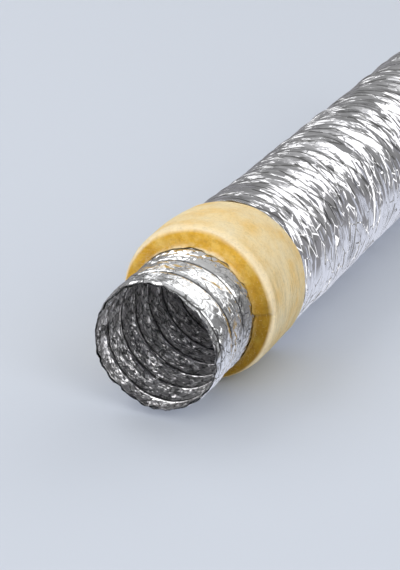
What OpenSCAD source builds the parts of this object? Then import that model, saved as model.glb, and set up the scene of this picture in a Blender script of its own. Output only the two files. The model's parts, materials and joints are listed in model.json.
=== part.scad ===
// Insulated flexible air duct, with its core bared at one end for fitting.
// Two foil plies hold a spring wire helix between them. A wool blanket wraps the core and a
// metallised film jacket wraps the wool.
// The duct's axis lies along +Y. The open mouth is at y = 0 and faces -Y, and +Z is up.
// The duct is cut into short rigid lengths: three single turns of bare core that close up like a
// concertina, one length that bares its wool, and jacketed lengths that hinge on each other.

/* [Core] */
// Clear bore of the core, which slides over a round spigot
bore_d = 152; // [120:1:200]
// Pitch of the wire helix
wire_pitch = 37.5; // [36:0.5:42]
// Diameter of the spring wire
wire_d = 1.3; // [1:0.1:1.5]
// Thickness of one foil ply
ply_t = 0.3; // [0.2:0.05:0.4]
// How far the core stands back from the bore between two turns of wire
ply_recess = 0.6; // [0.3:0.1:0.8]

/* [Wool] */
// Thickness of the wool where the jacket squeezes it
wool_t = 11.9; // [10:0.1:25]
// How much thicker the wool swells where it is bare
wool_swell = 7.4; // [2:0.1:9]
// How far the bare wool sits above the core's axis, because it is squashed below
wool_lift = 8.7; // [2:0.1:9]
// Radius of the rounded front edge of the wool
wool_edge_r = 8; // [4:0.5:9]
// Width of the butt seam in the wool blanket
seam_w = 0.8; // [0.5:0.1:2]

/* [Jacket] */
// Thickness of the jacket's film with its folds
jacket_t = 0.4; // [0.3:0.05:0.8]
// Depth of the jacket's pleats
pleat_depth = 0.5; // [0.3:0.1:1]

/* [Lengths, in turns of wire] */
// Jacketed lengths that hinge on each other
jacketed_count = 9; // [3:1:9]

/* [Hidden] */
$fn = 96;
STATIONS = 20;                       // flats round a foil ply, and chords in a turn of wire
step = wire_pitch / STATIONS;        // travel along the axis from one station to the next
ridge_steps = 2;                     // half the width of the ridge that a ply makes over the wire
flat_factor = 1 / cos(180 / STATIONS); // takes a radius at a flat's middle to its corners

bare_turns = 3;                      // single turns of bare core
bare_wool_turns = 3.25;              // the length that bares its wool
link_turns = 2.25;                   // each jacketed length but the last
tail_turns = 2.75;                   // the last jacketed length

cuff_steps = 4;                      // plain round margin of foil at both ends of the duct
wire_end_steps = 0.4;                // the wire stops this far inside a plain margin
air = 0.2;                           // clearance between a ply and the wire
layer_gap = 0.3;                     // clearance between neighbouring soft layers
face_gap = 0.1;                      // each soft length stands back this far from its end plane
wire_end_gap = 0.4;                  // each wire end is cut back this much of its own length

bore_r = bore_d / 2;
wire_side = wire_d * sqrt(PI) / 2;   // square wire with the round wire's section area
wire_r = bore_r + ply_t + air + wire_side / 2;
inner_crest_r = bore_r;
inner_valley_r = bore_r + ply_recess;
outer_crest_r = wire_r + wire_side / 2 + air;
outer_valley_r = inner_valley_r + ply_t + face_gap;
sleeved_outer_r = (wire_r + wire_side / 2) * flat_factor + layer_gap / 2;

wool_bore_r = sleeved_outer_r + ply_t + layer_gap;
wool_r = wool_bore_r + wool_t;
bare_wool_r = wool_r + wool_swell;
wool_shift = wool_lift / 4;          // the bare wool leans to +X as it swells
inner_edge_r = wool_edge_r / 4;
seam_angle = 8;                      // from +X towards +Z: the seam lies just above the +X side

jacket_in_r = wool_r + layer_gap;
jacket_r = jacket_in_r + jacket_t + pleat_depth;
pleats_per_turn = 3;
pleat = wire_pitch / pleats_per_turn;

floor_z = -(jacket_r - 1.6);         // the duct's own weight flattens its underside to here
wool_floor_z = floor_z + jacket_t + layer_gap;

// Where each length starts and ends, in stations
bare_ends = [for (i = [0 : bare_turns]) i * STATIONS];
wool_start = bare_turns * STATIONS;
jacket_start = wool_start + bare_wool_turns * STATIONS;
link_starts = [for (i = [0 : jacketed_count - 1]) jacket_start + i * link_turns * STATIONS];
duct_end = link_starts[jacketed_count - 1] + tail_turns * STATIONS;

// Node names: the lengths are counted from the mouth
CORE_LAYERS = ["inner_ply", "helix_wire", "outer_ply"];
SLEEVED_LAYERS = ["inner_ply", "helix_wire", "outer_ply", "insulation"];
JACKETED_LAYERS = ["inner_ply", "helix_wire", "outer_ply", "insulation", "jacket"];

function bare_name(i, layer) = str("turn", i + 1, "_", layer);
function link_name(i, layer) = str("link", i + 1, "_", layer);
function neck_name(layer) = str("neck_", layer);

// ---------------------------------------------------------------- helix geometry

// Distance in stations from the nearest turn of wire, at station i along the axis and a round it
function from_wire(i, a) = abs((i - a) - STATIONS * floor((i - a) / STATIONS + 0.5));

// Radius of a foil surface: at its crest over the wire, at its valley between two turns
function foil_r(i, a, valley_r, crest_r) =
    valley_r + (crest_r - valley_r) * max(0, 1 - from_wire(i, a) / ridge_steps);

// A point at station a round the axis. Its radius is measured to the middle of a flat.
function ring_point(a, r, y) =
    let (angle = 360 * a / STATIONS)
    [r * flat_factor * sin(angle), y, r * flat_factor * cos(angle)];

// Rows of points run along the helix, three to a turn: one on the wire and one at each foot of
// the ridge. Row m crosses station a at row_at(m, a), in stations along the axis.
ROWS = 3;
function row_at(m, a) =
    STATIONS * floor(m / ROWS) + a + (m - ROWS * floor(m / ROWS) - 1) * ridge_steps;

// Last row at or before station i on the ray a, and first row at or after it
function row_before(i, a, m) = row_at(m + 1, a) <= i ? row_before(i, a, m + 1) : m;
function row_after(i, a, m) = row_at(m, a) >= i ? m : row_after(i, a, m + 1);

// A foil ply between two flat ends: a tube whose ridges follow the wire
module foil_tube(i0, i1, valley_r, crest_r) {
    first_row = ROWS * (floor(i0 / STATIONS) - 2);
    last_row = ROWS * (ceil(i1 / STATIONS) + 2);
    row_count = last_row - first_row + 1;
    low = [for (a = [0 : STATIONS - 1]) row_before(i0, a, first_row)];
    high = [for (a = [0 : STATIONS - 1]) row_after(i1, a, first_row)];

    function y_at(a, m) =
        m <= low[a] ? i0 * step + face_gap
        : m >= high[a] ? i1 * step - face_gap
        : row_at(m, a) * step;
    function r_at(a, m) =
        foil_r(min(max(row_at(m, a), i0), i1), a, valley_r, crest_r);

    // Points of the inner surface come first, then those of the outer surface
    surface = row_count * STATIONS;
    points = [
        for (skin = [0, 1], a = [0 : STATIONS - 1], m = [first_row : last_row])
            ring_point(a, r_at(a, m) + skin * ply_t, y_at(a, m))
    ];
    // Going once round the axis moves a row on by one whole turn
    function at(skin, a, m) =
        a == STATIONS ? at(skin, 0, m + ROWS)
        : skin * surface + a * row_count + min(max(m, low[a]), high[a]) - first_row;

    function triangle(p, q, r) = p == q || q == r || p == r ? [] : [[p, q, r]];
    function patch(skin, a, m) =
        let (p = at(skin, a, m), q = at(skin, a, m + 1),
             r = at(skin, a + 1, m + 1), s = at(skin, a + 1, m))
        skin == 1 ? concat(triangle(p, q, r), triangle(p, r, s))
        : concat(triangle(p, r, q), triangle(p, s, r));
    function rim(a, m, turned) =
        let (p = at(0, a, m), q = at(1, a, m), r = at(1, a + 1, m), s = at(0, a + 1, m))
        turned ? concat(triangle(p, q, r), triangle(p, r, s))
        : concat(triangle(p, r, q), triangle(p, s, r));
    // One turn's rows are kept back at each end, so that the last station still has its own row
    faces = [
        for (a = [0 : STATIONS - 1], m = [first_row : last_row - ROWS - 1], skin = [0, 1])
            each patch(skin, a, m),
        for (a = [0 : STATIONS - 1]) each rim(a, first_row, true),
        for (a = [0 : STATIONS - 1]) each rim(a, last_row - ROWS, false)
    ];
    polyhedron(points = points, faces = faces, convexity = 10);
}

// A corner of the wire's square section at i stations along the helix, on the chord there
function wire_corner(i, dr, dy) =
    let (a = floor(i), t = i - a)
    (1 - t) * ring_point(a, wire_r + dr, a * step + dy)
    + t * ring_point(a + 1, wire_r + dr, (a + 1) * step + dy);

// The spring wire between two cuts, given in stations
module helix_wire(i0, i1) {
    h = wire_side / 2;
    cuts = concat([i0], [for (i = [floor(i0) + 1 : ceil(i1) - 1]) i], [i1]);
    corners = [[-h, -h], [h, -h], [h, h], [-h, h]];
    points = [for (i = cuts, c = corners) wire_corner(i, c[0], c[1])];
    last = len(cuts) - 1;
    faces = concat(
        [[3, 2, 1, 0]],
        [for (k = [0 : last - 1], c = [0 : 3])
            let (d = (c + 1) % 4)
            each [[4 * k + c, 4 * k + d, 4 * k + 4 + d],
                  [4 * k + c, 4 * k + 4 + d, 4 * k + 4 + c]]],
        [[4 * last, 4 * last + 1, 4 * last + 2, 4 * last + 3]]
    );
    polyhedron(points = points, faces = faces, convexity = 10);
}

// ---------------------------------------------------------------- round forms along the axis

// Turns an outline of [radius, place along the axis] points about the duct's axis
module spin() {
    rotate([-90, 0, 0]) rotate_extrude() children();
}

module tube(r_in, r_out, y0, y1) {
    translate([0, y0, 0])
        rotate([-90, 0, 0])
            difference() {
                cylinder(r = r_out, h = y1 - y0);
                translate([0, 0, -1]) cylinder(r = r_in, h = y1 - y0 + 2);
            }
}

// Everything above a level that reaches past the duct on all other sides
module above(z) {
    reach = 2 * bare_wool_r;
    translate([-reach, -reach, z]) cube([2 * reach, duct_end * step + 2 * reach, 2 * reach]);
}

// ---------------------------------------------------------------- foil core

module inner_ply(i0, i1) {
    color("gainsboro") {
        at_mouth = i0 == 0;
        at_tail = i1 == duct_end;
        foil_tube(at_mouth ? cuff_steps : i0, at_tail ? duct_end - cuff_steps : i1,
            inner_valley_r, inner_crest_r);
        if (at_mouth) tube(bore_r, bore_r + ply_t, 0, cuff_steps * step);
        if (at_tail) tube(bore_r, bore_r + ply_t, (duct_end - cuff_steps) * step, duct_end * step);
    }
}

module bare_outer_ply(i0, i1) {
    color("silver") {
        at_mouth = i0 == 0;
        foil_tube(at_mouth ? cuff_steps : i0, i1, outer_valley_r, outer_crest_r);
        if (at_mouth) tube(outer_valley_r, outer_valley_r + ply_t, 0, cuff_steps * step);
    }
}

// Under the wool the outer ply is pulled straight from one turn of wire to the next
module sleeved_outer_ply(i0, i1) {
    color("silver")
        tube(sleeved_outer_r, sleeved_outer_r + ply_t, i0 * step + face_gap, i1 * step - face_gap);
}

module wire_length(i0, i1) {
    back = wire_end_gap / (2 * PI * wire_r / STATIONS);
    start = i0 == 0 ? cuff_steps + wire_end_steps : i0 + back;
    end = i1 == duct_end ? duct_end - cuff_steps - wire_end_steps : i1 - back;
    color("dimgray") helix_wire(start, end);
}

// ---------------------------------------------------------------- wool

// The butt seam where the blanket's two edges meet
module seam() {
    rotate([0, -seam_angle, 0])
        translate([0, 0, -seam_w / 2])
            cube([2 * bare_wool_r, duct_end * step, seam_w]);
}

module sleeved_wool(i0, i1) {
    color("khaki")
        difference() {
            intersection() {
                tube(wool_bore_r, wool_r, i0 * step + face_gap, i1 * step - face_gap);
                above(wool_floor_z);
            }
            seam();
        }
}

// Outline of the bare wool: a rounded front edge, then a long taper in under the jacket
module bare_wool_outline(y0, y1) {
    ARC_POINTS = 6;
    taper = (y1 - y0) * 0.45;
    end_r = wool_r - wool_lift;
    points = concat(
        [[0, y0], [bare_wool_r - wool_edge_r, y0]],
        [for (k = [1 : ARC_POINTS])
            let (t = 90 * k / ARC_POINTS)
            [bare_wool_r - wool_edge_r * (1 - sin(t)), y0 + wool_edge_r * (1 - cos(t))]],
        [for (k = [0 : ARC_POINTS])
            let (t = k / ARC_POINTS)
            [bare_wool_r - (bare_wool_r - end_r) * (1 - cos(180 * t)) / 2, y1 - taper * (1 - t)]],
        [[0, y1]]
    );
    polygon(points);
}

module bare_wool(i0, i1) {
    y0 = i0 * step + face_gap;
    y1 = i1 * step - face_gap;
    sleeved_from = y0 + (y1 - y0) * 0.3;
    color("khaki")
        difference() {
            intersection() {
                union() {
                    translate([wool_shift, 0, wool_lift]) spin() bare_wool_outline(y0, y1);
                    translate([0, sleeved_from, 0])
                        rotate([-90, 0, 0]) cylinder(r = wool_r, h = y1 - sleeved_from);
                }
                above(floor_z);
            }
            // The bore, with its front edge eased
            translate([0, y0 - 1, 0])
                rotate([-90, 0, 0]) cylinder(r = wool_bore_r, h = y1 - y0 + 2);
            translate([0, y0 - 1, 0])
                rotate([-90, 0, 0])
                    cylinder(r1 = wool_bore_r + inner_edge_r + 1, r2 = wool_bore_r - 1,
                        h = inner_edge_r + 2);
            seam();
        }
}

// ---------------------------------------------------------------- jacket

// Outline of the pleated jacket's outside, or of the space inside its film
module pleated_outline(y0, y1, r) {
    count = round((y1 - y0) / (pleat / 2));
    points = concat(
        [[0, y0]],
        [for (k = [0 : count])
            [r - (k % 2 == 0 ? pleat_depth : 0), y0 + (y1 - y0) * k / count]],
        [[0, y1]]
    );
    polygon(points);
}

module jacket(i0, i1) {
    y0 = i0 * step + face_gap;
    y1 = i1 * step - face_gap;
    color("lightsteelblue")
        difference() {
            intersection() {
                spin() pleated_outline(y0, y1, jacket_r);
                above(floor_z);
            }
            intersection() {
                translate([0, y0 - 1, 0])
                    rotate([-90, 0, 0]) cylinder(r = jacket_in_r, h = y1 - y0 + 2);
                above(floor_z + jacket_t);
            }
        }
}

// ---------------------------------------------------------------- lengths of the duct

module bare_turn(i, layer) {
    i0 = bare_ends[i];
    i1 = bare_ends[i + 1];
    if (layer == "inner_ply") inner_ply(i0, i1);
    if (layer == "helix_wire") wire_length(i0, i1);
    if (layer == "outer_ply") bare_outer_ply(i0, i1);
}

module neck(layer) {
    if (layer == "inner_ply") inner_ply(wool_start, jacket_start);
    if (layer == "helix_wire") wire_length(wool_start, jacket_start);
    if (layer == "outer_ply") sleeved_outer_ply(wool_start, jacket_start);
    if (layer == "insulation") bare_wool(wool_start, jacket_start);
}

module link(i, layer) {
    i0 = link_starts[i];
    i1 = i == jacketed_count - 1 ? duct_end : link_starts[i + 1];
    if (layer == "inner_ply") inner_ply(i0, i1);
    if (layer == "helix_wire") wire_length(i0, i1);
    if (layer == "outer_ply") sleeved_outer_ply(i0, i1);
    if (layer == "insulation") sleeved_wool(i0, i1);
    if (layer == "jacket") jacket(i0, i1);
}

for (i = [0 : bare_turns - 1], layer = CORE_LAYERS)
    bare_turn(i, layer);
for (layer = SLEEVED_LAYERS)
    neck(layer);
for (i = [0 : jacketed_count - 1], layer = JACKETED_LAYERS)
    link(i, layer);
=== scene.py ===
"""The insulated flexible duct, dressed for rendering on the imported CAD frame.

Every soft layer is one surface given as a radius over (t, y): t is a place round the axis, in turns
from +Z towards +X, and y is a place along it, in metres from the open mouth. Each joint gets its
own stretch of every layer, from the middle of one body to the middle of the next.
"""
import json
import math

import bpy
import numpy as np
from mathutils import Matrix, Vector

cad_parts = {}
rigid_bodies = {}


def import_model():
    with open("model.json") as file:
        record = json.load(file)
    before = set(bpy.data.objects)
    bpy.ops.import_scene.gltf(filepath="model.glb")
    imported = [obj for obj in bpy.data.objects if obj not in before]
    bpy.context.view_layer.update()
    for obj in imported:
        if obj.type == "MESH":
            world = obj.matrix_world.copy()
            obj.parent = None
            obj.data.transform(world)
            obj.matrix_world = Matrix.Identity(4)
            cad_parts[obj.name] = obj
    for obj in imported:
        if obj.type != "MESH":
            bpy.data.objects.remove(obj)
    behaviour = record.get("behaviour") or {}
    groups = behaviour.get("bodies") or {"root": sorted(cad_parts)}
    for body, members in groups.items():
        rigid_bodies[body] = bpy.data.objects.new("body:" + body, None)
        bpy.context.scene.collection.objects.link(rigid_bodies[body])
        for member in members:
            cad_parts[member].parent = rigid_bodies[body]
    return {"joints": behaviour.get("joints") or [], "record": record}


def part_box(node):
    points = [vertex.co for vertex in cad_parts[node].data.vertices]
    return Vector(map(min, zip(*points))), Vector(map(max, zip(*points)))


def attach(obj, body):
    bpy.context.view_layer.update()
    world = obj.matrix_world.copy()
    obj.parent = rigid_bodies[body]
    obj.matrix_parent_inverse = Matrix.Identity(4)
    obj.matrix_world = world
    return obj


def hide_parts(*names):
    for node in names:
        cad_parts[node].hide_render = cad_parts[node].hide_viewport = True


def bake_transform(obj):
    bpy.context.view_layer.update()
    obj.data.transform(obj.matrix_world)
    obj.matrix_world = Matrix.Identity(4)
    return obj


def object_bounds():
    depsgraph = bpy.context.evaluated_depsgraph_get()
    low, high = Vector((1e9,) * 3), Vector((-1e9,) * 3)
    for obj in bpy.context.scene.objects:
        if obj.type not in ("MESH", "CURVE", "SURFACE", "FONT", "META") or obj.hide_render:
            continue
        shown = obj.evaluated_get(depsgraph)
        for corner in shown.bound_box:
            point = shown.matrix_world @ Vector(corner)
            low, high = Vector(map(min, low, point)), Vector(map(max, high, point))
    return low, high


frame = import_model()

cad_low, cad_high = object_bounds()

# ------------------------------------------------------------------ sizes, in metres

MM = 0.001
TAU = 2 * math.pi
PITCH = 37.5 * MM                      # one turn of the wire helix, as in the CAD
FLOOR_Z = cad_low.z
LENGTH = cad_high.y
BODY_ORDER = list(frame["record"]["behaviour"]["bodies"])


def span(body):
    """Where a body starts and ends along the axis."""
    low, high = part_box(body + "_inner_ply")
    return low.y, high.y


def middle(body):
    start, end = span(body)
    return (start + end) / 2


WOOL_FACE = span("neck")[0]            # cut front face of the wool
JACKET_EDGE = span("link1")[0]         # cut front edge of the jacket
WIRE_R = 76.3 * MM                     # the coil's, at the middle of the wire
WIRE_HALF = 0.65 * MM                  # half of the wire's thickness
WIRE_END = 7 * MM                      # the wire stops this far inside the duct's cut ends
BELLY = 2.7 * MM                       # how far the foil stands out between two turns of wire
PLY = 0.1 * MM                         # thickness of a foil ply
SLEEVED_R = 79.2 * MM                  # the outer ply under the wool, pulled straight
TUCKED = 12 * MM                       # how far under the wool the outer ply keeps its creases
SLIDE = 48 * MM                        # foil so close to the wool reaches it as the turns close
WOOL_BORE_R = 79.4 * MM
WOOL_R = 89.6 * MM                     # outside of the wool where the jacket squeezes it
BARE_WOOL_R = 98.6 * MM
JACKET_R = 92.3 * MM

# Places round the duct, in degrees from +Z towards +X
DENT_ANGLE = 40                        # the mouth's upper right is pressed in
SIDE_DENT_ANGLE = 102                  # so is the bare core's right side, near the wool
SMOOTH_ANGLE = 38                      # the bare core's foil is smoothest here
SLACK_ANGLE = -38                      # the jacket's film is slackest here
SEAM_ANGLE = 82                        # the wool's butt seam

# ------------------------------------------------------------------ noise on a tube


def hashed(i, j, seed):
    """A fixed pseudo-random number in 0..1 for each pair of whole numbers."""
    h = (i.astype(np.int64) * 374761393 + j.astype(np.int64) * 668265263 + seed * 1274126177)
    h = h & 0xFFFFFFFF
    h = ((h ^ (h >> 13)) * 1103515245) & 0xFFFFFFFF
    h = ((h ^ (h >> 16)) * 2246822519) & 0xFFFFFFFF
    return (h ^ (h >> 15)) / 4294967295.0


def corners(u, v, period, seed):
    """The hashed values at the four corners of each point's cell, the point's place in the cell,
    and one more hashed value for the cell."""
    i, j = np.floor(u), np.floor(v)
    i0, i1 = np.mod(i, period), np.mod(i + 1, period)
    return (hashed(i0, j, seed), hashed(i1, j, seed), hashed(i0, j + 1, seed),
            hashed(i1, j + 1, seed), u - i, v - j, hashed(i0, j, seed + 57))


def smooth_noise(t, y, around, along, seed):
    """Soft noise in -1..1. around is how many cells go round the tube, along is a cell's length."""
    a, b, c, d, x, z, _ = corners(t * around, y / along, around, seed)
    x, z = x * x * (3 - 2 * x), z * z * (3 - 2 * z)
    return 2 * ((a * (1 - x) + b * x) * (1 - z) + (c * (1 - x) + d * x) * z) - 1


def facet_noise(t, y, around, along, seed):
    """Crumpled noise in -1..1: flat triangles that meet in sharp creases."""
    a, b, c, d, x, z, flip = corners(t * around, y / along, around, seed)
    rising = np.where(x + z < 1, a + (b - a) * x + (c - a) * z,
                      d + (c - d) * (1 - x) + (b - d) * (1 - z))
    falling = np.where(x > z, a + (b - a) * x + (d - b) * z, a + (c - a) * z + (d - c) * x)
    return 2 * np.where(flip < 0.5, rising, falling) - 1


def crumple(t, y, around, along, seed, warp=0.6):
    """Facets pushed about by soft noise, so that their creases run every way."""
    shift_t = warp / around * smooth_noise(t, y, max(3, around // 3), along * 2.6, seed + 11)
    shift_y = warp * along * smooth_noise(t, y, max(3, around // 3), along * 2.1, seed + 23)
    return facet_noise(t + shift_t, y + shift_y, around, along, seed)


# ------------------------------------------------------------------ forms of the layers


def from_wire(t, y):
    """Distance along the axis to the nearest turn of wire."""
    turns = y / PITCH - t
    return PITCH * (turns - np.round(turns))


def near_wire(t, y, width):
    """1 on a wire, fading over width to both sides."""
    return np.exp(-((from_wire(t, y) / width) ** 2))


def eased(y, start, end):
    """0 up to start and 1 from end on, with a soft rise in between."""
    share = np.clip((y - start) / (end - start), 0, 1)
    return share * share * (3 - 2 * share)


def between_wires(t, y, flatness):
    """0 on a wire and 1 halfway to the next turn of it. The higher flatness is, the flatter the
    form in between. At the mouth's rim, where it is cut, the foil has one level all round."""
    across = 1 - (1 - np.abs(2 * from_wire(t, y) / PITCH)) ** flatness
    at_rim = 1 - eased(y, 0, 8 * MM)
    return across + (0.4 - across) * at_rim


def degrees_from(t, angle):
    """How far each place lies round the duct from an angle, which is from +Z towards +X."""
    return 360 * np.abs(np.mod(t - angle / 360 + 0.5, 1) - 0.5)


def side_bump(t, angle, width):
    """1 at an angle round the duct, fading over width, both in degrees."""
    return np.exp(-((degrees_from(t, angle) / width) ** 2))


def core_r(t, y, flatness=3.4):
    """Middle of the wall: it bellies out between the wires, and is dented where it is bare."""
    bare = 1 - eased(y, WOOL_FACE, WOOL_FACE + 25 * MM)
    lumps = 0.6 * MM * smooth_noise(t, y, 9, 31 * MM, 5) + 0.5 * MM * crumple(t, y, 30, 14 * MM, 7)
    calm = 1 - 0.85 * near_wire(t, y, 2.5 * MM)
    rim = (2.4 * MM * smooth_noise(t, y * 0, 7, 1, 31) * np.exp(-y / (18 * MM))
           + 1.7 * MM * facet_noise(t, y * 0, 23, 1, 32) * np.exp(-y / (7 * MM))
           + 1.1 * MM * facet_noise(t, y * 0, 57, 1, 33) * np.exp(-y / (4 * MM)))
    dent = side_bump(t, DENT_ANGLE, 36) * (4.0 * MM * np.exp(-y / (55 * MM))
                                           + 1.5 * MM * np.exp(-y / (9 * MM)))
    side_dent = 4.8 * MM * side_bump(t, SIDE_DENT_ANGLE, 40) * eased(y, 30 * MM, 66 * MM)
    return (WIRE_R + BELLY * between_wires(t, y, flatness) + lumps * calm * bare + rim
            - (dent + side_dent) * bare)


def groove_shade_outside(t, y):
    """Painted shade: a dark line in the groove beside each wire on the outer ply."""
    return near_wire(t, y - 0.3 * MM, 1.5 * MM)


def line_inside(t, y):
    """The far side of each wire lies in its shadow."""
    return near_wire(t, y - 4.4 * MM, 2.9 * MM)


def crest_inside(t, y):
    """Low inside the mouth the near side of each wire catches the light."""
    low = side_bump(t, 158, 34)
    return low * near_wire(t, y + 0.9 * MM, 1.3 * MM) * (1 - eased(y, 90 * MM, 240 * MM))


def held(t, y):
    """Close to the wire the film is held smooth."""
    return near_wire(t, y, 2.2 * MM)


def crumpled(t, y):
    """The bare core's upper right is smooth and its other sides are crumpled."""
    return 0.35 + 0.65 * eased(degrees_from(t, SMOOTH_ANGLE), 16, 34)


def handled(t, y):
    """Next to the wool the foil was crumpled and dulled when the wool was pushed back."""
    return eased(y, 52 * MM, WOOL_FACE - 14 * MM)


def near_slope(t, y):
    """The front slope of each groove outside, which would mirror the wool as a gold line."""
    return 0.45 * near_wire(t, y + 1.0 * MM, 1.9 * MM)


def flank(t, y):
    """The jacket's right side, where the painted crease shade is left out."""
    return eased(degrees_from(t, 0), 52, 74)


def wall_half(t, y):
    """Half of the wall's thickness: the plies part to pass the wire between them."""
    return (0.13 + 0.80 * near_wire(t, y, 1.0 * MM)) * MM


def outer_ply_r(t, y):
    """Outside of the outer ply, which is nearly flat between the wires."""
    calm = 1 - 0.9 * near_wire(t, y, 1.6 * MM)
    depth = crumpled(t, y) + 0.7 * handled(t, y)
    creases = depth * (0.42 * MM * (1 + crumple(t, y, 70, 6.5 * MM, 8))
                       + 0.18 * MM * (1 + crumple(t, y, 150, 3.2 * MM, 9)))
    bare = core_r(t, y, 8) + wall_half(t, y) + creases * calm
    return bare + (SLEEVED_R - bare) * eased(y, WOOL_FACE + 4 * MM, WOOL_FACE + 20 * MM)


def wool_bore_r(t, y):
    """The wool clears all that slides past each place as the bare turns close into it. Less slides
    past further in, and nothing does at the neck's middle."""
    reach = SLIDE * np.clip((middle("neck") - y) / (middle("neck") - WOOL_FACE), 0, 1)
    widest = np.max([outer_ply_r(t, y - reach * share) for share in np.linspace(0, 1, 28)], axis=0)
    return widest + 0.3 * MM


def inner_ply_r(t, y):
    """The inner ply is creased more than the outer one."""
    calm = 1 - 0.9 * near_wire(t, y, 1.8 * MM)
    creases = (0.80 * MM * (1 + crumple(t, y, 48, 9.5 * MM, 12, 0.9))
               + 0.75 * MM * (1 + crumple(t, y, 110, 4.4 * MM, 13, 0.9)))
    return core_r(t, y) - wall_half(t, y) - creases * calm


# ------------------------------------------------------------------ forms of wool and jacket


def bare_wool_r(t, y):
    """Outside of the wool: bare, it swells and its centre lies above and beside the core's axis."""
    angle = TAU * t
    settle = eased(y, WOOL_FACE + 60 * MM, JACKET_EDGE + 10 * MM)
    squeeze = eased(y, JACKET_EDGE - 13 * MM, JACKET_EDGE + 9 * MM)
    radius = BARE_WOOL_R - 3.0 * MM * settle
    up, right = (9.0 - 4.5 * settle) * MM, (2.4 - 1.4 * settle) * MM
    along = right * np.sin(angle) + up * np.cos(angle)
    across = right * np.cos(angle) - up * np.sin(angle)
    r = along + np.sqrt(radius ** 2 - across ** 2)
    r = r + (1.2 * MM * smooth_noise(t, y, 7, 55 * MM, 41)
             + 0.5 * MM * smooth_noise(t, y, 24, 19 * MM, 42)
             + 0.22 * MM * smooth_noise(t, y, 90, 6 * MM, 43) - seam_groove(t, y)
             + 0.9 * MM * smooth_noise(t, y * 0, 15, 1, 44) * np.exp(-(y - WOOL_FACE) / (12 * MM)))
    return on_floor(t, r + (WOOL_R + flare(t, y) - r) * squeeze)


def past_seam(t):
    """How far round from the blanket's butt seam, from 0 to 1 turn."""
    return np.mod(t - SEAM_ANGLE / 360, 1)


def seam_step(t):
    """One edge of the blanket stands a little back from the other at its cut front."""
    past = past_seam(t)
    return 1.3 * MM * np.exp(-past / 0.05) - 1.1 * MM * np.exp(-(1 - past) / 0.035)


def seam_groove(t, y):
    """The butt seam is a shallow groove along the skin."""
    away = np.minimum(past_seam(t), 1 - past_seam(t)) * TAU * BARE_WOOL_R
    return 0.7 * MM * np.exp(-((away / (1.9 * MM)) ** 2))


def flare(t, y):
    """Near its cut edge the jacket is pushed out above by the swelling wool."""
    up = np.maximum(0, np.cos(TAU * t + math.radians(15))) ** 1.5
    return 4.5 * MM * up * np.exp(-np.maximum(0, y - JACKET_EDGE) / (35 * MM))


def on_floor(t, r, clearance=0.0):
    """A radius kept from going below the floor."""
    down = -np.cos(TAU * t)
    limit = (-FLOOR_Z - clearance) / np.maximum(down, 1e-6)
    return np.where(down > 0, np.minimum(r, limit), r)


def jacket_out_r(t, y):
    """Outside of the metallised film: pleats that run round the duct, crossed by sharp creases."""
    lean = (14 * MM * smooth_noise(t, y, 5, 120 * MM, 61)
            + 5 * MM * smooth_noise(t, y, 12, 60 * MM, 62))
    tight = 0.66 + 0.34 * smooth_noise(t, y, 4, 90 * MM, 67)
    slack = 0.6 + side_bump(t, SLACK_ANGLE, 40)
    pleats = slack * (1.5 * MM * facet_noise(t, y + lean, 7, 17 * MM, 63)
                      + 0.8 * MM * facet_noise(t, y + 1.3 * lean, 11, 9 * MM, 68))
    folds = 1.4 * MM * crumple(t, y + lean, 17, 24 * MM, 64, 0.4)
    waves = 0.9 * MM * smooth_noise(t, y, 6, 46 * MM, 66)
    edge = 0.8 * MM * np.exp(-np.maximum(0, y - JACKET_EDGE) / (5 * MM))
    r = JACKET_R + flare(t, y) + (pleats + folds) * tight + waves + edge
    return on_floor(t, np.maximum(r, WOOL_R + flare(t, y) + 0.5 * MM))


# ------------------------------------------------------------------ meshes


def points(t, y, r):
    """The places at (t, y) and a radius, as (x, y, z)."""
    angle = TAU * t
    return np.stack([r * np.sin(angle), y, r * np.cos(angle)], -1)


def grid_faces(rows, n, start=0, flip=False):
    """Quads between neighbouring rings of n points."""
    row, col = np.meshgrid(np.arange(rows - 1), np.arange(n), indexing="ij")
    nxt = (col + 1) % n
    a, b = start + row * n + col, start + row * n + nxt
    c, d = start + (row + 1) * n + nxt, start + (row + 1) * n + col
    quads = np.stack([a, b, c, d] if flip else [a, d, c, b], -1).reshape(-1, 4)
    return quads


def rim_faces(first, second, n, flip=False):
    """Quads between two rings that start at the given point numbers."""
    col = np.arange(n)
    nxt = (col + 1) % n
    quads = np.stack([first + col, first + nxt, second + nxt, second + col], -1)
    return quads[:, ::-1] if flip else quads


def new_mesh(name, verts, quads, material):
    mesh = bpy.data.meshes.new(name)
    mesh.vertices.add(len(verts))
    mesh.vertices.foreach_set("co", verts.astype(np.float32).ravel())
    mesh.loops.add(quads.size)
    mesh.loops.foreach_set("vertex_index", quads.astype(np.int32).ravel())
    mesh.polygons.add(len(quads))
    mesh.polygons.foreach_set("loop_start", np.arange(0, quads.size, 4, dtype=np.int32))
    mesh.update(calc_edges=True)
    mesh.polygons.foreach_set("use_smooth", np.ones(len(quads), bool))
    rest = mesh.attributes.new("rest", "FLOAT_VECTOR", "POINT")
    rest.data.foreach_set("vector", verts.astype(np.float32).ravel())
    mesh.materials.append(material)
    obj = bpy.data.objects.new(name, mesh)
    bpy.context.scene.collection.objects.link(obj)
    return obj


def row_places(y0, y1, spacing):
    """Even places from y0 to y1, at most a spacing apart."""
    return np.linspace(y0, y1, max(2, int(math.ceil((y1 - y0) / spacing)) + 1))


def gathered(t, y, y0, y1):
    """Rows drawn towards the wires, where the relief is finest, but straight at both ends."""
    to_end = np.minimum(y - y0, y1 - y)
    hold = np.clip(to_end / (8 * MM), 0, 1)
    return y - 0.5 * hold * PITCH / TAU * np.sin(TAU * (y / PITCH - t))


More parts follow.
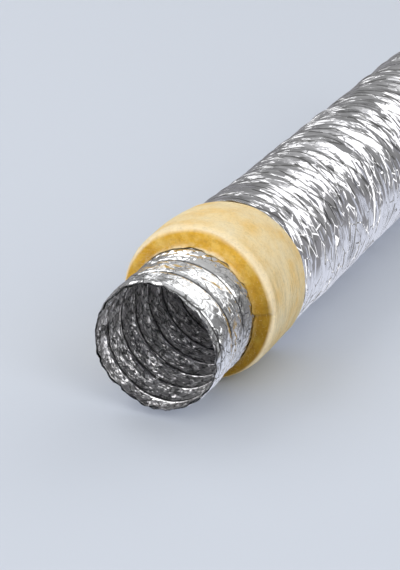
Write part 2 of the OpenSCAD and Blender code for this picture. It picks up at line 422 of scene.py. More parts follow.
def surface(n, ys, radius, edge, at_wires):
    """Points and normals of a radius function over rings at the places ys."""
    t, y = np.meshgrid(np.arange(n) / n, ys)
    if at_wires:
        y = gathered(t, y, ys[0], ys[-1])

    def form(dt, dy):
        return points(t + dt, y + dy + edge(t + dt, y + dy), radius(t + dt, y + dy))

    half_turn, half_step = 0.35 / n, 0.35 * MM
    across = form(half_turn, 0) - form(-half_turn, 0)
    along = form(0, half_step) - form(0, -half_step)
    normal = np.cross(along, across)
    normal /= np.maximum(np.linalg.norm(normal, axis=2, keepdims=True), 1e-12)
    return form(0, 0), normal, t, y


def add_values(obj, name, values):
    """A number for each point of the mesh, which its material can read."""
    attribute = obj.data.attributes.new(name, "FLOAT", "POINT")
    attribute.data.foreach_set("value", values.astype(np.float32).ravel())


def shell(name, n, outer_ys, inner_ys, outer_r, inner_r, edge, material, at_wires=False, marks=()):
    """A closed layer between two radius functions. edge(t, y) moves points along the axis, and
    marks pairs the names that its material reads with the functions of their values."""
    outer, outer_normals, out_t, out_y = surface(n, outer_ys, outer_r, edge, at_wires)
    inner, inner_normals, in_t, in_y = surface(n, inner_ys, inner_r, edge, at_wires)
    verts = np.concatenate([outer.reshape(-1, 3), inner.reshape(-1, 3)])
    half = outer.shape[0] * n
    last_out, last_in = half - n, len(verts) - n
    quads = np.concatenate([
        grid_faces(len(outer_ys), n), grid_faces(len(inner_ys), n, half, flip=True),
        rim_faces(0, half, n), rim_faces(last_out, last_in, n, flip=True)])
    obj = new_mesh(name, verts, quads, material)
    for label, value in marks:
        both = value(out_t, out_y).ravel(), value(in_t, in_y).ravel()
        add_values(obj, label, np.concatenate(both))
    normals = np.concatenate([outer_normals.reshape(-1, 3), -inner_normals.reshape(-1, 3)])
    obj.data.normals_split_custom_set_from_vertices(normals.tolist())
    return obj


def helix(name, y0, y1, radius, material, per_turn=60):
    """The spring wire between two places along the axis, with six sides and closed ends."""
    sides = 6
    count = int((y1 - y0) / PITCH * per_turn) + 1
    y = np.linspace(y0, y1, count)
    t = np.mod(y / PITCH, 1)
    centre = points(t, y, core_r(t, y))
    tangent = np.gradient(centre, axis=0)
    tangent /= np.linalg.norm(tangent, axis=1, keepdims=True)
    out = points(t, y * 0, np.ones_like(y))
    side = np.cross(tangent, out)
    side /= np.linalg.norm(side, axis=1, keepdims=True)
    up = np.cross(side, tangent)
    a = TAU * np.arange(sides) / sides
    ring = (centre[:, None] + radius * (np.cos(a)[None, :, None] * up[:, None]
                                        + np.sin(a)[None, :, None] * side[:, None]))
    verts = ring.reshape(-1, 3)
    quads = grid_faces(count, sides)
    caps = [[0, 1, 2, 3], [0, 3, 4, 5], [0, 5, 4, 3], [0, 3, 2, 1]]
    last = (count - 1) * sides
    ends = np.array([caps[0], caps[1], [last + i for i in caps[2]], [last + i for i in caps[3]]])
    return new_mesh(name, verts, np.concatenate([quads, ends]), material)


# ------------------------------------------------------------------ materials

MATH, VECTOR_MATH = "ShaderNodeMath", "ShaderNodeVectorMath"


def new_material(name):
    material = bpy.data.materials.new(name)
    material.use_nodes = True
    tree = material.node_tree
    shader = tree.nodes["Principled BSDF"]
    return material, tree, shader


def put(tree, socket, value):
    """Sets a socket to a value, or links it where the value is another node's socket."""
    if isinstance(value, bpy.types.NodeSocket):
        tree.links.new(value, socket)
    else:
        socket.default_value = value


def add(tree, kind, **values):
    """A node with its inputs set or linked, and its properties set, by name."""
    node = tree.nodes.new(kind)
    for key, value in values.items():
        if key in node.inputs:
            put(tree, node.inputs[key], value)
        else:
            setattr(node, key, value)
    return node


def operate(tree, kind, operation, *inputs):
    """A node of one of the two kinds of maths, with its inputs set or linked in order."""
    node = add(tree, kind, operation=operation)
    for socket, value in zip(node.inputs, inputs):
        put(tree, socket, value)
    return node


def linear(r, g, b):
    """An sRGB colour given in 0..255 as a linear one."""
    def one(c):
        c /= 255
        return c / 12.92 if c <= 0.04045 else ((c + 0.055) / 1.055) ** 2.4
    return (one(r), one(g), one(b), 1)


def grey(v):
    return (v, v, v, 1)


def mapped(tree, place, **change):
    """A place stretched by Scale or turned by Rotation."""
    return add(tree, "ShaderNodeMapping", Vector=place, **change).outputs["Vector"]


def rest_place(tree, scale=(1, 1, 1)):
    """Where each point lies on the duct at rest, so that a pattern stays put when it bends."""
    place = add(tree, "ShaderNodeAttribute", attribute_name="rest").outputs["Vector"]
    return mapped(tree, place, Scale=scale)


def mark(tree, name):
    """The values that a mesh carries under a name, or 0 where it carries none."""
    return add(tree, "ShaderNodeAttribute", attribute_name=name).outputs["Fac"]


def noise(tree, place, scale, detail, **more):
    node = add(tree, "ShaderNodeTexNoise", Vector=place, Scale=scale, Detail=detail, **more)
    return node.outputs["Fac"]


def ramp(tree, source, stops):
    """Colours that follow a source, by stops of (value, colour)."""
    node = add(tree, "ShaderNodeValToRGB", Fac=source)
    elements = node.color_ramp.elements
    while len(elements) < len(stops):
        elements.new(0.5)
    for element, (position, colour) in zip(elements, stops):
        element.position = position
        element.color = colour
    return node.outputs["Color"]


def mixed(tree, share, first, second, blend_type="MIX"):
    """first where share is 0 and second where it is 1. Each is a socket or a plain value."""
    node = add(tree, "ShaderNodeMixRGB", blend_type=blend_type, Fac=share, Color1=first,
               Color2=second)
    return node.outputs["Color"]


def toward(tree, place, way):
    """How far each place lies in one direction."""
    return operate(tree, VECTOR_MATH, "DOT_PRODUCT", place, way).outputs["Value"]


def scaled(tree, vector, amount):
    """A vector times an amount, which is a number or a socket."""
    return add(tree, VECTOR_MATH, operation="SCALE", Vector=vector, Scale=amount).outputs["Vector"]


def added(tree, first, second):
    return operate(tree, VECTOR_MATH, "ADD", first, second).outputs["Vector"]


def bumped(tree, height, strength, distance, normal):
    """A normal roughened by a height, starting from a normal or, where that is None, the mesh's."""
    node = add(tree, "ShaderNodeBump", Height=height, Strength=strength, Distance=distance)
    if normal is not None:
        put(tree, node.inputs["Normal"], normal)
    return node.outputs["Normal"]


def facet_tilt(tree, place, stretch, scale, amount):
    """A random lean for each small flat facet of crumpled foil. stretch is a facet's proportion."""
    cells = add(tree, "ShaderNodeTexVoronoi", Vector=mapped(tree, place, Scale=stretch),
                Scale=scale)
    centred = operate(tree, VECTOR_MATH, "SUBTRACT", cells.outputs["Color"], (0.5, 0.5, 0.5))
    return scaled(tree, centred.outputs["Vector"], amount)


def with_gaps(tree, lines, place, scale, start, end):
    """Lines that show only where a noise is above end, and fade out below it towards start."""
    gaps = ramp(tree, noise(tree, place, scale, 1.0), [(start, grey(0)), (end, grey(1))])
    return mixed(tree, 1.0, lines, gaps, "MULTIPLY")


def crease_lines(tree, place, stretch, scale, width):
    """1 along thin broken creases between irregular facets, and 0 beside them. width is half a
    crease's, in cells."""
    cells = add(tree, "ShaderNodeTexVoronoi", feature="DISTANCE_TO_EDGE",
                Vector=mapped(tree, place, Scale=stretch), Scale=scale)
    lines = ramp(tree, cells.outputs["Distance"], [(width * 0.7, grey(1)), (width, grey(0))])
    return with_gaps(tree, lines, place, scale * 0.9, 0.42, 0.50)


def fold_lines(tree, place, turned, spacing, broken_at):
    """1 along thin broken creases that run round the duct, and 0 beside them. turned is how far
    they are turned about each axis, and spacing is their distance along the duct."""
    place = mapped(tree, place, Rotation=turned)
    waves = add(tree, "ShaderNodeTexWave", wave_type="BANDS", bands_direction="Y", Vector=place,
                Scale=TAU / (20 * spacing), Distortion=5.0, Detail=1.0, **{"Detail Scale": 0.7})
    lines = ramp(tree, waves.outputs["Fac"], [(0.90, grey(0)), (0.93, grey(1))])
    return with_gaps(tree, lines, place, broken_at, 0.48, 0.53)


def lean_by(tree, lean, share, way):
    """Adds to a lean the share of a fixed way to lean."""
    fixed = add(tree, "ShaderNodeCombineXYZ", X=way[0], Y=way[1], Z=way[2]).outputs["Vector"]
    return added(tree, lean, scaled(tree, fixed, share))


def foil_material(name, colour, rough, facets, ridges, creases, wire_shade_colour, wander=(90, 0.004)):
    """Metallised film. Its larger dents are in the mesh. facets lists the smaller ones as
    (proportion of a facet, facets in a metre, how far they lean). ridges and creases list thin
    lines as (kind, sizes, the way they lean or their grey level): the sizes are (proportion, cells
    in a metre, half width in cells) for crease_lines and (turned, spacing, broken at) for
    fold_lines. The creases are painted
    shade: their lines darken the film's colour to their grey level. wander is how many times in a
    metre, and how far, these patterns wander. The colour given for the mesh's line mark is painted
    shade along each wire. The mesh's marks tell where the wire holds the film smooth, where
    handling dulled it, where it leans forward, towards the mouth, and where the painted crease
    shade is left out."""
    material, tree, shader = new_material(name)
    shader.inputs["Metallic"].default_value = 1.0
    place = rest_place(tree)
    wandering = add(tree, "ShaderNodeTexNoise", Vector=place, Scale=wander[0], Detail=2.0)
    warped = mixed(tree, wander[1], place, wandering.outputs["Color"], "LINEAR_LIGHT")
    holding, dulled = mark(tree, "held"), mark(tree, "handled")

    lean = add(tree, "ShaderNodeCombineXYZ").outputs["Vector"]
    for stretch, scale, amount in facets:
        lean = added(tree, lean, facet_tilt(tree, warped, stretch, scale, amount))
    for kind, sizes, way in ridges:
        lean = lean_by(tree, lean, kind(tree, warped, *sizes), way)
    free = operate(tree, MATH, "SUBTRACT", 1.0, holding).outputs["Value"]
    lean = scaled(tree, lean, free)
    lean = lean_by(tree, lean, dulled, (0, -0.36, 0))
    lean = lean_by(tree, lean, mark(tree, "forward"), (0, -1.6, 0))
    total = added(tree, add(tree, "ShaderNodeNewGeometry").outputs["Normal"], lean)
    unit = operate(tree, VECTOR_MATH, "NORMALIZE", total).outputs["Vector"]
    ripple = noise(tree, place, 420.0, 2.0, Roughness=0.5)
    put(tree, shader.inputs["Normal"], bumped(tree, ripple, 0.12, 0.0003, unit))

    patches = noise(tree, place, 22.0, 4.0)
    dim = tuple(c * 0.88 for c in colour[:3]) + (1,)
    film = ramp(tree, patches, [(0.35, dim), (0.62, colour)])
    film = mixed(tree, dulled, film, grey(0.70))
    # Painted shade: the creases' thin lines darken the film, except on the jacket's right flank
    for kind, sizes, level in creases:
        darker = mixed(tree, mark(tree, "flank"), kind(tree, warped, *sizes), grey(0))
        film = mixed(tree, darker, film, grey(level))
    # Painted shade along each wire, where the mesh's line mark puts it
    film = mixed(tree, mark(tree, "line"), film, wire_shade_colour)
    put(tree, shader.inputs["Base Color"], film)
    sheen = ramp(tree, patches, [(0.3, grey(rough * 1.5)), (0.7, grey(rough))])
    sheen = mixed(tree, dulled, sheen, grey(0.15))
    put(tree, shader.inputs["Roughness"], mixed(tree, holding, sheen, grey(0.12)))
    return material


def wire_material():
    material, tree, shader = new_material("spring_wire")
    shader.inputs["Metallic"].default_value = 1.0
    shader.inputs["Roughness"].default_value = 0.35
    drawn = noise(tree, rest_place(tree), 900.0, 2.0)
    steel = ramp(tree, drawn, [(0.3, grey(0.25)), (0.7, grey(0.42))])
    put(tree, shader.inputs["Base Color"], steel)
    return material


def wool_colour(tree, place):
    """A pale mottled skin, and gold where the wool has been cut."""
    clouds = noise(tree, place, 26.0, 5.0, Roughness=0.55, Distortion=0.15)
    skin = ramp(tree, clouds, [(0.30, linear(243, 226, 186)), (0.50, linear(241, 217, 165)),
                               (0.74, linear(236, 198, 122))])
    # Painted highlight: the skin is paler in a band along the rounded front edge
    skin = mixed(tree, mark(tree, "pale"), skin, linear(240, 223, 188))
    deep = noise(tree, place, 55.0, 6.0, Roughness=0.65)
    cut = ramp(tree, deep, [(0.25, linear(192, 140, 32)), (0.50, linear(215, 167, 60)),
                            (0.75, linear(230, 194, 106))])
    # Painted shade: the cut face is darkened low on its right
    shade_low_right = ramp(tree, toward(tree, place, (8.5, 0, -5.0)), [(0.05, grey(0)), (0.75, grey(1))])
    cut = mixed(tree, shade_low_right, cut, (0.45, 0.44, 0.23, 1), "MULTIPLY")
    colour = mixed(tree, mark(tree, "cut"), skin, cut)
    # Streaks on the right side, where the blanket's thin sheets show
    sheets = noise(tree, rest_place(tree, (0.7, 11, 0.7)), 26.0, 4.0, Roughness=0.6, Distortion=0.4)
    streaks = ramp(tree, sheets, [(0.36, grey(0.80)), (0.52, grey(1.0))])
    right = ramp(tree, toward(tree, place, (11, 0, -3)), [(0.55, grey(0)), (0.95, grey(1))])
    colour = mixed(tree, 1.0, colour, mixed(tree, right, grey(1), streaks), "MULTIPLY")
    flecks = noise(tree, rest_place(tree, (1, 1.8, 1)), 240.0, 5.0, Roughness=0.7, Distortion=1.2)
    darker = ramp(tree, flecks, [(0.30, grey(0.78)), (0.52, grey(1.0))])
    return mixed(tree, 1.0, colour, darker, "MULTIPLY")


def wool_material():
    """Glass wool, matted with fibres."""
    material, tree, shader = new_material("glass_wool")
    shader.inputs["Roughness"].default_value = 0.95
    shader.inputs["Specular IOR Level"].default_value = 0.15
    shader.inputs["Sheen Weight"].default_value = 0.08
    shader.inputs["Sheen Roughness"].default_value = 0.6
    place = rest_place(tree)
    put(tree, shader.inputs["Base Color"], wool_colour(tree, place))
    mats = noise(tree, place, 70.0, 4.0, Roughness=0.6, Distortion=0.6)
    matted = bumped(tree, mats, 0.7, 0.003, None)
    fibres = noise(tree, rest_place(tree, (1, 3.5, 1)), 260.0, 6.0, Roughness=0.7, Distortion=1.5)
    put(tree, shader.inputs["Normal"], bumped(tree, fibres, 0.8, 0.0012, matted))
    return material


ROUND_FACET, LONG_FACET, PLEAT = (1, 1, 1), (1, 2, 1), (1, 3, 1)
# In each film below, the creases are painted shade, and so is the colour along the wire
CORE_OUTSIDE = foil_material(
    "core_foil_outside", (0.91, 0.92, 0.94, 1), 0.12,
    facets=[(LONG_FACET, 70, 0.08), (ROUND_FACET, 240, 0.05)],
    ridges=[(crease_lines, (LONG_FACET, 62, 0.06), (0, 0.0, 0.5))],
    creases=[(crease_lines, (LONG_FACET, 46, 0.045), 0.25),
             (crease_lines, (ROUND_FACET, 100, 0.05), 0.5)],
    wire_shade_colour=grey(0.03))
CORE_INSIDE = foil_material(
    "core_foil_inside", (0.94, 0.93, 0.94, 1), 0.32,
    facets=[(PLEAT, 95, 0.60), (LONG_FACET, 320, 0.60), (ROUND_FACET, 650, 0.45)],
    ridges=[(crease_lines, (LONG_FACET, 110, 0.06), (0, -0.6, 0))],
    creases=[(crease_lines, (LONG_FACET, 90, 0.10), 0.3)],
    wire_shade_colour=grey(0.06))
JACKET_FILM = foil_material(
    "jacket_film", (0.92, 0.92, 0.95, 1), 0.06,
    facets=[(PLEAT, 20, 0.20), (LONG_FACET, 44, 0.16)],
    ridges=[(fold_lines, ((0.3, 0, 0.25), 0.021, 26), (0, 0.1, 1.2)),
            (crease_lines, (LONG_FACET, 36, 0.032), (0, 0.1, 1.2)),
            (fold_lines, ((0.15, 0, -0.2), 0.017, 34), (0.1, 0, -0.45)),
            (fold_lines, ((-0.2, 0, 0.35), 0.024, 28), (0.1, 0, -0.45))],
    creases=[(fold_lines, ((-0.35, 0, -0.3), 0.025, 31), 0.3),
             (fold_lines, ((0.25, 0, 0.1), 0.019, 36), 0.2)],
    wire_shade_colour=grey(0.3), wander=(24, 0.004))
WIRE = wire_material()
WOOL = wool_material()

# ------------------------------------------------------------------ the layers, joint by joint

CORE_N, JACKET_N, WOOL_N = 360, 232, 300    # points round each layer where it shows
DEEP_N, HIDDEN_N = 180, 72                  # points round what is deep inside, or covered
WELL_SEEN, SEEN = 200 * MM, 400 * MM        # how far in the open mouth shows the inner ply
TEAR = 3.4 * MM                             # how ragged the foil's cut end is


def still(t, y):
    return np.zeros_like(y)


def torn(depth, seed, at, reach):
    """A cut edge that isn't straight: it wanders by depth and fades out over reach."""
    def edge(t, y):
        ragged = (0.6 * smooth_noise(t, y * 0, 17, 1, seed)
                  + 0.4 * facet_noise(t, y * 0, 71, 1, seed + 1)
                  + 0.35 * facet_noise(t, y * 0, 150, 1, seed + 2))
        return depth * ragged * np.exp(-np.abs(y - at) / reach)
    return edge


def joint_stretches():
    """(joint, the two bodies in order along the axis, start and end of their stretch)."""
    found = []
    for first, second in zip(BODY_ORDER[:-1], BODY_ORDER[1:]):
        joint = next(j for j in frame["joints"] if {j["parent"], j["child"]} == {first, second})
        y0 = 0.0 if first == BODY_ORDER[0] else middle(first)
        y1 = LENGTH if second == BODY_ORDER[-1] else middle(second)
        found.append((joint["name"], first, second, y0, y1))
    return found


def cross(obj):
    """Bakes the stretch's place into its mesh."""
    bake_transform(obj)


def inner_detail(y1):
    """Points round the inner ply and the spacing of its rows: fine where an open end shows it."""
    if y1 < WELL_SEEN:
        return CORE_N, 1.25 * MM
    if y1 < SEEN:
        return CORE_N, 1.7 * MM
    return (CORE_N, 2.5 * MM) if y1 == LENGTH else (DEEP_N, 4.5 * MM)


def outer_rows(y0, y1, fine):
    """Close rows on the bare core, and wide ones under the wool."""
    rows = row_places(y0, min(y1, WOOL_FACE + TUCKED), 1.1 * MM) if fine else []
    if y1 > WOOL_FACE:
        hidden = row_places(max(y0, WOOL_FACE + TUCKED), y1, 6 * MM)
        rows = np.concatenate([rows, hidden[1:] if fine else hidden])
    return rows


def make_core(joint, first, second, y0, y1):
    at_mouth = y0 == 0
    n, spacing = inner_detail(y1)
    in_ys = row_places(y0, y1, spacing)
    inner = shell(f"{joint}_inner_ply", n, in_ys, in_ys,
                  lambda t, y: inner_ply_r(t, y) + PLY, inner_ply_r,
                  torn(TEAR, 81, 0.0, 6 * MM) if at_mouth else still, CORE_INSIDE, True,
                  [("line", line_inside), ("held", held), ("forward", crest_inside)])
    bare = y0 < WOOL_FACE
    out_ys = outer_rows(y0, y1, bare)
    outer = shell(f"{joint}_outer_ply", CORE_N if bare else HIDDEN_N, out_ys, out_ys,
                  outer_ply_r, lambda t, y: outer_ply_r(t, y) - PLY,
                  torn(TEAR, 71, 0.0, 6 * MM) if at_mouth else still, CORE_OUTSIDE, bare,
                  [("line", groove_shade_outside), ("held", held), ("handled", handled),
                   ("forward", near_slope)])
    wire = helix(f"{joint}_helix_wire", max(y0, WIRE_END), min(y1, LENGTH - WIRE_END), WIRE_HALF,
                 WIRE)
    for layer, obj in (("inner_ply", inner), ("outer_ply", outer), ("helix_wire", wire)):
        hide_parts(f"{first}_{layer}", f"{second}_{layer}")
        cross(obj)


def wool_profile(y0, y1, front):
    """Loop of (share, y, how much it is a cut face) round the wool's section: up the front, back
    along the outside, down the rear and forward along the bore. share is 0 at the bore and 1 at
    the skin."""
    loop = []
    if front:
        flat, edge, steps = 0.6, 11 * MM, 12     # the flat share of the face, and its rounded edge
        skin_from, fade = 5.4, 3.8               # where on that edge the skin starts, in steps
        loop += [(s, y0, 1.0) for s in np.linspace(0.0, flat, 14)]
        for k in range(1, steps + 1):
            a = math.radians(90 * k / steps)
            loop.append((flat + (1 - flat) * math.sin(a), y0 + edge * (1 - math.cos(a)),
                         min(1.0, max(0.0, (skin_from - k) / fade))))
        start = y0 + edge
    else:
        loop += [(s, y0, 1.0) for s in (0.0, 0.5, 1.0)]
        start = y0
    for y in row_places(start, y1, 2.6 * MM if front else 8 * MM)[1:]:
        loop.append((1.0, y, 0.0))
    loop += [(s, y1, 1.0) for s in np.linspace(1.0, 0.0, 10 if y1 == LENGTH else 3)[1:]]
    bore_rows = row_places(y0, y1, 15 * MM)
    if front:
        lips_end = y0 + 42 * MM
        bore_rows = np.concatenate([row_places(y0, lips_end, 1.5 * MM)[:-1],
                                    row_places(lips_end, y1, 6 * MM)])
    loop += [(0.0, y, 1.0) for y in bore_rows[-2:0:-1]]
    return np.array(loop)


def rough_face(t, share, y, cut):
    """The wool's front with its bulges, its seam's step and a fluffy lip at the bore. Returns the
    places along the axis, and how cut they look."""
    on_face = np.exp(-((y - WOOL_FACE) / (12 * MM)) ** 2)
    y = y + on_face * (1.6 * MM * smooth_noise(t, share, 9, 0.7, 51)
                       + 0.7 * MM * smooth_noise(t, share, 40, 0.25, 52)
                       + 0.35 * MM * smooth_noise(t, share, 110, 0.12, 53)
                       + seam_step(t))
    lip = np.exp(-((share / 0.07) ** 2)) * (1 + smooth_noise(t, share * 0, 60, 1, 55)) * on_face
    y = y - 3.2 * MM * lip
    cut = np.clip(cut + 0.3 * smooth_noise(t, share, 26, 0.2, 58) * (cut > 0) * (cut < 1), 0, 1)
    # Pale fluff covers the cut by the bore, mostly above the core
    above = 0.12 + 0.88 * (1 - eased(degrees_from(t, -12), 34, 70))
    fluff = np.exp(-share / 0.13) * (smooth_noise(t, share, 90, 0.1, 56) > 0)
    return y, cut * (1 - above * np.minimum(1, 0.75 * lip + 0.6 * fluff))


def make_wool(joint, first, second, y0, y1):
    front = first == "neck"
    n = WOOL_N if front or y1 == LENGTH else HIDDEN_N
    profile = wool_profile(WOOL_FACE if front else y0, y1, front)
    share, ys, cut = profile.T
    t = np.arange(n) / n
    t, share, y, cut = (np.broadcast_to(a, (len(ys), n)) for a in
                        (t[None], share[:, None], ys[:, None], cut[:, None]))
    bore = wool_bore_r(t, y) if front else np.full_like(y, WOOL_BORE_R)
    skin = bare_wool_r(t, y)
    r = bore + (skin - bore) * share
    if front:
        y, cut = rough_face(t, share, y, cut)
    verts = points(t, y, r).reshape(-1, 3)
    rows = len(ys)
    quads = np.concatenate([grid_faces(rows, n), rim_faces((rows - 1) * n, 0, n, flip=True)])
    obj = new_mesh(f"{joint}_insulation", verts, quads, WOOL)
    add_values(obj, "cut", cut)
    # Where the painted highlight lies: a band along the rounded front edge, a few mm behind the
    # face
    from_edge_highlight = y - WOOL_FACE - (4 + 4 * smooth_noise(t, y * 0, 13, 1, 57)) * MM
    add_values(obj, "pale", 0.8 * np.exp(-((from_edge_highlight / (6 * MM)) ** 2)))
    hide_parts(f"{first}_insulation", f"{second}_insulation")
    cross(obj)


def make_jacket(joint, first, second, y0, y1):
    """The film is thin at its cut edge. Further in, where nothing shows, its inside is plain."""
    at_edge = first == "neck"
    start = max(y0, JACKET_EDGE)
    ys = row_places(start, y1, 2.0 * MM)
    thin_for = 14 * MM if at_edge else 0.0
    lining_ys = np.concatenate([ys[ys < start + thin_for],
                                row_places(start + thin_for, y1, 12 * MM)])

    def lining_r(t, y):
        film = jacket_out_r(t, y) - 0.25 * MM
        plain = on_floor(t, WOOL_R + flare(t, y) + 0.1 * MM, 0.3 * MM)
        if not at_edge:
            return plain
        return film + (plain - film) * eased(y, start + 4 * MM, start + thin_for)

    obj = shell(f"{joint}_jacket", JACKET_N, ys, lining_ys, jacket_out_r, lining_r,
                torn(4.5 * MM, 91, start, 12 * MM) if at_edge else still, JACKET_FILM,
                marks=[("flank", flank)])
    covered = [f"{second}_jacket"] if at_edge else [f"{first}_jacket", f"{second}_jacket"]
    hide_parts(*covered)
    cross(obj)


def make_fibres(count=700, rings=4, sides=3):
    """Loose glass fibres that stand out of the wool's cut face, most of them round its bore. None
    heads inwards, where the foil slides past, nor below the floor."""
    rng = np.random.default_rng(7)
    t = rng.random(count)
    share = np.where(rng.random(count) < 0.6, 0.10 * rng.random(count),
                     rng.random(count) ** 0.7 * 0.92)
    y = np.full(count, WOOL_FACE)
    bore = wool_bore_r(t, y) + 0.3 * MM
    radius = bore + (bare_wool_r(t, y) - bore) * share
    root = points(t, y + 1.5 * MM, radius)
    out = points(t, y * 0, np.ones(count))
    round_way = np.cross(out, [0.0, 1.0, 0.0])
    length = (4 + 6 * rng.random(count)) * MM
    heading = (np.array([0.0, -0.9, 0.0]) + out * np.abs(rng.normal(0, 0.5, (count, 1)))
               + round_way * rng.normal(0, 1.0, (count, 1)))
    heading /= np.linalg.norm(heading, axis=1, keepdims=True)
    curl = rng.normal(0, 0.5, (count, 3))
    curl -= out * np.minimum(0, np.sum(curl * out, axis=1, keepdims=True))
    along = np.linspace(0, 1, rings)[None, :, None]
    spine = root[:, None] + length[:, None, None] * (along * heading[:, None]
                                                     + along ** 2 * curl[:, None] * 0.5)
    spine[..., 2] = np.maximum(spine[..., 2], FLOOR_Z + 0.2 * MM)
    side = np.cross(heading, out)
    side /= np.linalg.norm(side, axis=1, keepdims=True)
    other = np.cross(heading, side)
    a = (TAU * np.arange(sides) / sides)[None, None, :, None]
    thick = 0.11 * MM * (1 - 0.8 * along)[..., None]
    ring = spine[:, :, None] + thick * (np.cos(a) * side[:, None, None]
                                        + np.sin(a) * other[:, None, None])
    quads = [grid_faces(rings, sides, k * rings * sides) for k in range(count)]
    obj = new_mesh("loose_fibres", ring.reshape(-1, 3), np.concatenate(quads), WOOL)
    add_values(obj, "cut", np.full(count * rings * sides, 0.0))
    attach(obj, "neck")


make_fibres()
for joint, first, second, y0, y1 in joint_stretches():
    make_core(joint, first, second, y0, y1)
    if second.startswith("link"):
        make_wool(joint, first, second, y0, y1)
        make_jacket(joint, first, second, y0, y1)

# ------------------------------------------------------------------ floor, light and camera

BACKDROP = linear(206, 212, 222)


def glow_over(tree, share, surface, colour):
    """A surface that glows plainly in a colour for a share of what is seen of it."""
    glow = add(tree, "ShaderNodeEmission", Color=colour, Strength=1.0)
    mix = add(tree, "ShaderNodeMixShader", Fac=share)
    put(tree, mix.inputs[1], surface)
    put(tree, mix.inputs[2], glow.outputs["Emission"])
    return mix.outputs["Shader"]


def make_floor():
    mesh = bpy.data.meshes.new("floor")
    half = 30
    mesh.from_pydata([(-half, -half, FLOOR_Z), (half, -half, FLOOR_Z), (half, half, FLOOR_Z),
                      (-half, half, FLOOR_Z)], [], [(0, 1, 2, 3)])
    material, tree, shader = new_material("floor")
    shader.inputs["Base Color"].default_value = linear(196, 202, 212)
    shader.inputs["Roughness"].default_value = 0.9
    shader.inputs["Specular IOR Level"].default_value = 0.1
    ray = add(tree, "ShaderNodeLightPath")
    place = add(tree, "ShaderNodeNewGeometry").outputs["Position"]
    # Foil reflects the floor without the duct's shadow on it: pale close by and taupe further off
    across = add(tree, "ShaderNodeSeparateXYZ", Vector=place).outputs["X"]
    sideways = operate(tree, MATH, "ABSOLUTE", across).outputs["Value"]
    ground = ramp(tree, sideways, [(0.15, linear(222, 226, 238)), (0.32, linear(142, 141, 144))])
    glow_share = 0.95
    mirrored = operate(tree, MATH, "MULTIPLY", ray.outputs["Is Glossy Ray"], glow_share)
    seen = glow_over(tree, mirrored.outputs["Value"], shader.outputs["BSDF"], ground)
    # Far from the duct the camera sees the floor as plain pale as the backdrop
    away = operate(tree, VECTOR_MATH, "LENGTH", place).outputs["Value"]
    far = add(tree, "ShaderNodeMapRange", Value=away, **{"From Min": 2.0, "From Max": 6.0})
    far_seen = operate(tree, MATH, "MULTIPLY", ray.outputs["Is Camera Ray"], far.outputs["Result"])
    whole = glow_over(tree, far_seen.outputs["Value"], seen, BACKDROP)
    put(tree, tree.nodes["Material Output"].inputs["Surface"], whole)
    mesh.materials.append(material)
    floor = bpy.data.objects.new("floor", mesh)
    bpy.context.scene.collection.objects.link(floor)


def softbox(name, place, target, width, height, brightness):
    """A flat lamp. brightness is what a mirror would show of it, where 1 is white."""
    data = bpy.data.lights.new(name, "AREA")
    data.shape = "RECTANGLE"
    data.size, data.size_y = width, height
    data.energy = brightness * math.pi * width * height
    lamp = bpy.data.objects.new(name, data)
    lamp.location = place
    lamp.rotation_euler = (Vector(target) - Vector(place)).to_track_quat("-Z", "Y").to_euler()
    bpy.context.scene.collection.objects.link(lamp)


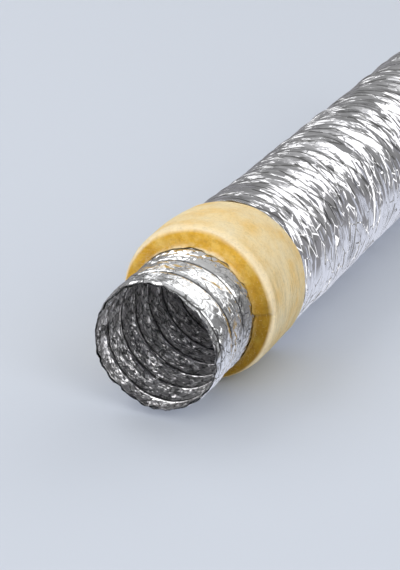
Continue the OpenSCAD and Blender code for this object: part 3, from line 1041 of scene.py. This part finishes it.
def make_world():
    """A dim studio: dark at the horizon, and brighter overhead and in front of the mouth. The
    camera itself sees the plain backdrop instead."""
    world = bpy.data.worlds.new("studio")
    bpy.context.scene.world = world
    world.use_nodes = True
    tree = world.node_tree
    way = add(tree, "ShaderNodeTexCoord").outputs["Generated"]
    part = add(tree, "ShaderNodeSeparateXYZ", Vector=way)
    sky = ramp(tree, part.outputs["Z"], [(0.0, grey(0.22)), (0.25, grey(0.30)), (1.0, grey(0.70))])
    frontwards = operate(tree, MATH, "MULTIPLY", part.outputs["Y"], -1.0).outputs["Value"]
    front = ramp(tree, frontwards, [(0.2, grey(0)), (1.0, grey(0.86))])
    studio = mixed(tree, 1.0, sky, front, "ADD")
    ray = add(tree, "ShaderNodeLightPath")
    seen = mixed(tree, ray.outputs["Is Camera Ray"], studio, BACKDROP)
    put(tree, tree.nodes["Background"].inputs["Color"], seen)


def make_light():
    make_world()
    softbox("back_softbox", (1.0, 4.7, 2.95), (0, 0.4, 0), 3.9, 2.6, 0.80)
    softbox("back_glow", (1.1, 4.8, 3.3), (0, 0.4, 0), 5.4, 3.7, 0.36)
    softbox("back_strip", (-2.5, 4.3, 1.6), (0, 0.4, 0), 0.6, 1.8, 1.0)
    softbox("key_softbox", (-2.3, 0.9, 2.9), (0, 0.3, 0), 2.4, 2.4, 2.4)
    softbox("right_fill", (2.6, -1.4, 1.9), (0, 0.2, 0), 1.8, 1.8, 3.2)
    softbox("front_fill", (-0.4, -3.2, 1.1), (0, 0, 0), 4.0, 2.4, 1.35)


def make_camera():
    """Looks at the mouth from its right and above, as the photo does. The sizes come from a fit to
    the mouth's ellipse and the lines of the wire, in which the core's radius was the unit."""
    azimuth, elevation, roll = math.radians(23.5), math.radians(23.1), math.radians(1.2)
    core_radius = 76.8 * MM
    distance = 32.23 * core_radius
    target = Vector((-0.35, 2.44, 0)) * core_radius
    forward = Vector((-math.sin(azimuth) * math.cos(elevation),
                      math.cos(azimuth) * math.cos(elevation), -math.sin(elevation)))
    right = Vector((math.cos(azimuth), math.sin(azimuth), 0))
    up = right.cross(forward)
    right, up = (right * math.cos(roll) + up * math.sin(roll),
                 -right * math.sin(roll) + up * math.cos(roll))
    data = bpy.data.cameras.new("camera")
    data.sensor_fit = "VERTICAL"
    data.sensor_height = 36
    data.lens = 2022 / 570 * 36        # a focal length of 2022 pixels in a frame 570 high
    camera = bpy.data.objects.new("camera", data)
    place = target - forward * distance
    camera.matrix_world = Matrix(((right.x, up.x, -forward.x, place.x),
                                  (right.y, up.y, -forward.y, place.y),
                                  (right.z, up.z, -forward.z, place.z), (0, 0, 0, 1)))
    bpy.context.scene.collection.objects.link(camera)
    bpy.context.scene.camera = camera


make_floor()
make_light()
make_camera()
bpy.context.scene.view_settings.view_transform = "Standard"
